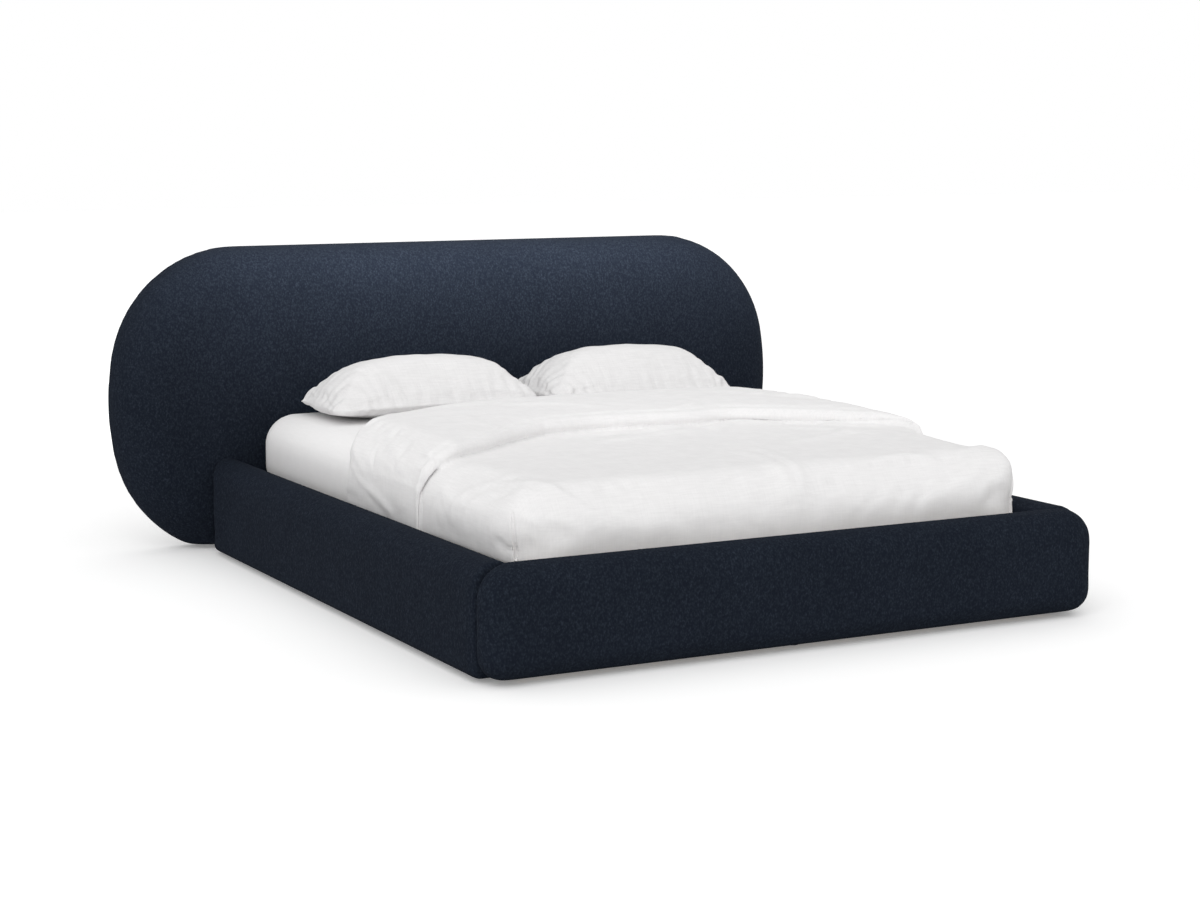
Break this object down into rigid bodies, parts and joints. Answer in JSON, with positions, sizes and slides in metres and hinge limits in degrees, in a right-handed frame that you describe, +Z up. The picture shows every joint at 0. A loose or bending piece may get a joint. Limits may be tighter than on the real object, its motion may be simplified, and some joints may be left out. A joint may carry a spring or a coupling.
{
  "type": "upholstered ottoman storage bed",
  "caption": "Low padded base with a pill-shaped headboard, dressed mattress on a slatted platform that is hinged near the head and lifts on two gas springs over a storage box",
  "frame": {"origin": "On the floor, at the middle of the bounding box in plan: halfway across the bed and halfway from the foot panel's front to the headboard's back", "axes": "X runs across the bed to the sleeper's left, Y from the foot end to the head end, Z up"},
  "size_m": [2.5, 2.35, 1.003],
  "materials": {
    "upholstery": "dark navy boucle, matt",
    "linen": "white cotton, soft",
    "ticking": "off-white mattress ticking",
    "lining": "black non-woven lining on a thin board",
    "webbing": "black woven webbing",
    "plywood": "plain birch plywood",
    "timber": "planed softwood",
    "beech": "glued beech lamella, satin",
    "black_steel": "black powder coat, satin",
    "bright_steel": "polished hard chrome",
    "zinc": "zinc plated",
    "plastic": "black moulded plastic",
    "rubber": "black rubber"
  },
  "bodies": {
    "base": {"headboard_cover": "upholstery", "headboard_ribs": "plywood", "headboard_panel": "plywood", "headboard_back": "lining", "headboard_bolts": "zinc", "left_rail_cover": "upholstery", "right_rail_cover": "upholstery", "left_rail_board": "plywood", "right_rail_board": "plywood", "footboard_cover": "upholstery", "footboard_board": "plywood", "rear_rail": "plywood", "corner_brackets": "black_steel", "bracket_bolts": "zinc", "left_ledger": "timber", "right_ledger": "timber", "floor_battens": "timber", "floor_panel_foot": "plywood", "floor_panel_middle": "plywood", "floor_panel_head": "plywood", "glides": "plastic", "left_hinge_plate": "black_steel", "right_hinge_plate": "black_steel", "left_hinge_screws": "zinc", "right_hinge_screws": "zinc", "left_hinge_pin": "zinc", "right_hinge_pin": "zinc", "left_hinge_bush": "plastic", "right_hinge_bush": "plastic", "left_rest_bracket": "black_steel", "right_rest_bracket": "black_steel", "rest_buffers": "rubber"},
    "platform": {"lift_frame_left": "black_steel", "lift_frame_right": "black_steel", "lift_frame_foot": "black_steel", "lift_frame_head": "black_steel", "lift_frame_spine": "black_steel", "lift_frame_braces": "black_steel", "slats_left": "beech", "slats_right": "beech", "slat_caps_left": "plastic", "slat_caps_right": "plastic", "slat_caps_centre": "plastic", "mattress_stop": "black_steel", "pull_strap": "webbing", "mattress": "ticking", "fitted_sheet": "linen", "duvet": "linen", "left_pillow": "linen", "right_pillow": "linen"},
    "left_cylinder": {"left_gas_cylinder": "black_steel"},
    "right_cylinder": {"right_gas_cylinder": "black_steel"},
    "left_rod": {"left_gas_rod": "bright_steel"},
    "right_rod": {"right_gas_rod": "bright_steel"}
  },
  "joints": [
    {"name": "platform_lift", "type": "hinge", "parent": "base", "child": "platform", "pos_m": [0, 0.605, 0.262], "axis": [-1, 0, 0], "range_deg": [0, 30]},
    {"name": "left_cylinder_turn", "type": "hinge", "parent": "base", "child": "left_cylinder", "pos_m": [-0.81725, 0.52341, 0.05769], "axis": [-1, 0, 0], "range_deg": [0, 15]},
    {"name": "left_rod_turn", "type": "hinge", "parent": "platform", "child": "left_rod", "pos_m": [-0.81725, 0.38727, 0.2305], "axis": [-1, 0, 0], "range_deg": [-15, 0]},
    {"name": "right_cylinder_turn", "type": "hinge", "parent": "base", "child": "right_cylinder", "pos_m": [0.81725, 0.52341, 0.05769], "axis": [-1, 0, 0], "range_deg": [0, 15]},
    {"name": "right_rod_turn", "type": "hinge", "parent": "platform", "child": "right_rod", "pos_m": [0.81725, 0.38727, 0.2305], "axis": [-1, 0, 0], "range_deg": [-15, 0]}
  ],
  "couplings": [
    {"joint": "left_cylinder_turn", "follows": "platform_lift", "ratio": 0.5},
    {"joint": "left_rod_turn", "follows": "platform_lift", "ratio": -0.5},
    {"joint": "right_cylinder_turn", "follows": "platform_lift", "ratio": 0.5},
    {"joint": "right_rod_turn", "follows": "platform_lift", "ratio": -0.5}
  ]
}
